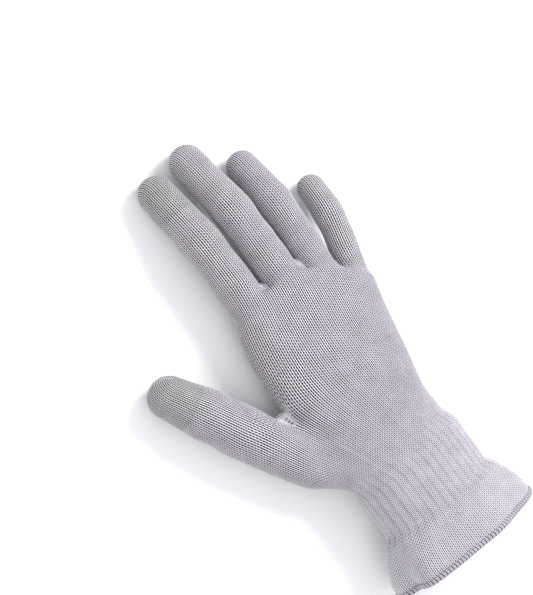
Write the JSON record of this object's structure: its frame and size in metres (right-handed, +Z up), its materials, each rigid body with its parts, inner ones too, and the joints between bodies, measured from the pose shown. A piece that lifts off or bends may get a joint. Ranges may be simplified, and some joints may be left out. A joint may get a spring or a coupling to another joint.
{
  "type": "knitted glove",
  "caption": "Right-hand knitted glove with a ribbed elastic wrist, a ruffled cuff and touchscreen fingertips; fingers and thumb bend at hinges.",
  "frame": {"origin": "centre of the bounding box at the surface that the glove lies on", "axes": "+Z up with the palm down, +Y from the cuff towards the fingertips, -X towards the thumb"},
  "size_m": [0.1354, 0.2252, 0.0506],
  "materials": {
    "knit_yarn": "plain jersey knit of a fine lavender-grey yarn, matt with a soft halo",
    "touch_yarn": "the same knit in a greyer conductive yarn",
    "hem_yarn": "close overlock stitches round the edge",
    "seam_thread": "linked loops that close a fingertip or a crotch",
    "elastic_thread": "fine covered rubber thread inside the rib"
  },
  "bodies": {
    "hand": {"hand_tube": "knit_yarn", "crotch_stitches": "seam_thread", "wrist_rib": "knit_yarn", "wrist_elastic": "elastic_thread", "ruffle_cuff": "knit_yarn", "cuff_hem": "hem_yarn"},
    "index_lower": {"index_knuckle_sleeve": "knit_yarn", "index_lower_tube": "knit_yarn", "index_joint_sleeve": "knit_yarn"},
    "index_upper": {"index_upper_tube": "knit_yarn", "index_touch_tip": "touch_yarn", "index_tip_seam": "seam_thread"},
    "middle_lower": {"middle_knuckle_sleeve": "knit_yarn", "middle_lower_tube": "knit_yarn", "middle_joint_sleeve": "knit_yarn"},
    "middle_upper": {"middle_upper_tube": "knit_yarn", "middle_tip_seam": "seam_thread"},
    "ring_lower": {"ring_knuckle_sleeve": "knit_yarn", "ring_lower_tube": "knit_yarn", "ring_joint_sleeve": "knit_yarn"},
    "ring_upper": {"ring_upper_tube": "knit_yarn", "ring_tip_seam": "seam_thread"},
    "little_lower": {"little_knuckle_sleeve": "knit_yarn", "little_lower_tube": "knit_yarn", "little_joint_sleeve": "knit_yarn"},
    "little_upper": {"little_upper_tube": "knit_yarn", "little_tip_seam": "seam_thread"},
    "thumb_lower": {"thumb_knuckle_sleeve": "knit_yarn", "thumb_lower_tube": "knit_yarn", "thumb_joint_sleeve": "knit_yarn"},
    "thumb_upper": {"thumb_upper_tube": "knit_yarn", "thumb_touch_tip": "touch_yarn", "thumb_tip_seam": "seam_thread"}
  },
  "joints": [
    {"name": "index_knuckle", "type": "hinge", "parent": "hand", "child": "index_lower", "pos_m": [-0.0029, 0.04892, 0.0184], "axis": [-1, -0.0087, 0], "range_deg": [-10, 65], "deforming": ["index_knuckle_sleeve"]},
    {"name": "index_joint", "type": "hinge", "parent": "index_lower", "child": "index_upper", "pos_m": [-0.00312, 0.07391, 0.01775], "axis": [-1, -0.0087, 0], "range_deg": [-16, 55], "deforming": ["index_joint_sleeve"]},
    {"name": "middle_knuckle", "type": "hinge", "parent": "hand", "child": "middle_lower", "pos_m": [0.018, 0.04742, 0.0194], "axis": [-1, 0, 0], "range_deg": [-10, 65], "deforming": ["middle_knuckle_sleeve"]},
    {"name": "middle_joint", "type": "hinge", "parent": "middle_lower", "child": "middle_upper", "pos_m": [0.018, 0.07592, 0.01915], "axis": [-1, 0, 0], "range_deg": [-18, 55], "deforming": ["middle_joint_sleeve"]},
    {"name": "ring_knuckle", "type": "hinge", "parent": "hand", "child": "ring_lower", "pos_m": [0.0367, 0.04292, 0.0184], "axis": [-0.9986, 0.0523, 0], "range_deg": [-10, 65], "deforming": ["ring_knuckle_sleeve"]},
    {"name": "ring_joint", "type": "hinge", "parent": "ring_lower", "child": "ring_upper", "pos_m": [0.03795, 0.06688, 0.01777], "axis": [-0.9986, 0.0523, 0], "range_deg": [-22, 50], "deforming": ["ring_joint_sleeve"]},
    {"name": "little_knuckle", "type": "hinge", "parent": "hand", "child": "little_lower", "pos_m": [0.0534, 0.03142, 0.016], "axis": [-0.9659, 0.2588, 0], "range_deg": [-10, 60], "deforming": ["little_knuckle_sleeve"]},
    {"name": "little_joint", "type": "hinge", "parent": "little_lower", "child": "little_upper", "pos_m": [0.0574, 0.04639, 0.01546], "axis": [-0.9659, 0.2588, 0], "range_deg": [-25, 45], "deforming": ["little_joint_sleeve"]},
    {"name": "thumb_knuckle", "type": "hinge", "parent": "hand", "child": "thumb_lower", "pos_m": [-0.0412, -0.00528, 0.0138], "axis": [-0.6691, -0.3736, -0.6424], "range_deg": [-10, 40], "deforming": ["thumb_knuckle_sleeve"]},
    {"name": "thumb_joint", "type": "hinge", "parent": "thumb_lower", "child": "thumb_upper", "pos_m": [-0.04997, 0.01157, 0.01314], "axis": [-0.6691, -0.3736, -0.6424], "range_deg": [-8, 50], "deforming": ["thumb_joint_sleeve"]}
  ]
}
